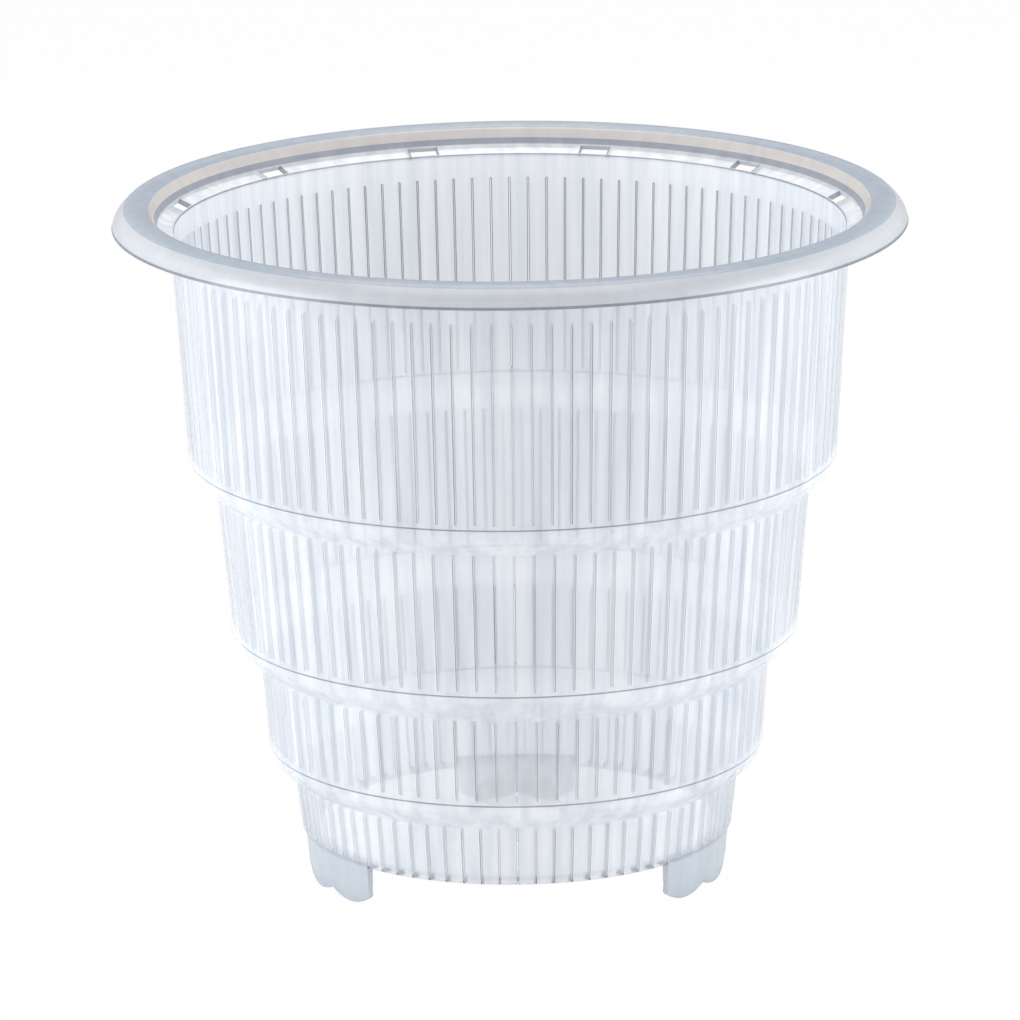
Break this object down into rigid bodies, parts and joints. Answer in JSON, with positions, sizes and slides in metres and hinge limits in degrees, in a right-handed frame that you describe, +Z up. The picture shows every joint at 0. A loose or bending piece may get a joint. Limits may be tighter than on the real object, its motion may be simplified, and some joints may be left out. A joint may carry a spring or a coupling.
{
  "type": "orchid pot with slots",
  "caption": "Clear round orchid pot with a rolled rim, tapering slotted walls that step inwards, a slotted floor with a drain cone, and short feet.",
  "frame": {"origin": "on the pot's axis at the level that its feet stand on", "axes": "+Z up along the pot's axis, -Y to the side that the picture shows"},
  "size_m": [0.2, 0.2, 0.1738],
  "materials": {
    "clear_plastic": "clear moulded polypropylene, slightly milky and bluish at the edges"
  },
  "bodies": {
    "root": {"rim_skirt": "clear_plastic", "rim_crest": "clear_plastic", "window_collar": "clear_plastic", "tier_1": "clear_plastic", "step_1": "clear_plastic", "tier_2": "clear_plastic", "step_2": "clear_plastic", "tier_3": "clear_plastic", "step_3": "clear_plastic", "base_wall": "clear_plastic", "floor_grille": "clear_plastic", "drain_cone": "clear_plastic", "foot_1": "clear_plastic", "foot_2": "clear_plastic", "foot_3": "clear_plastic"}
  },
  "joints": []
}
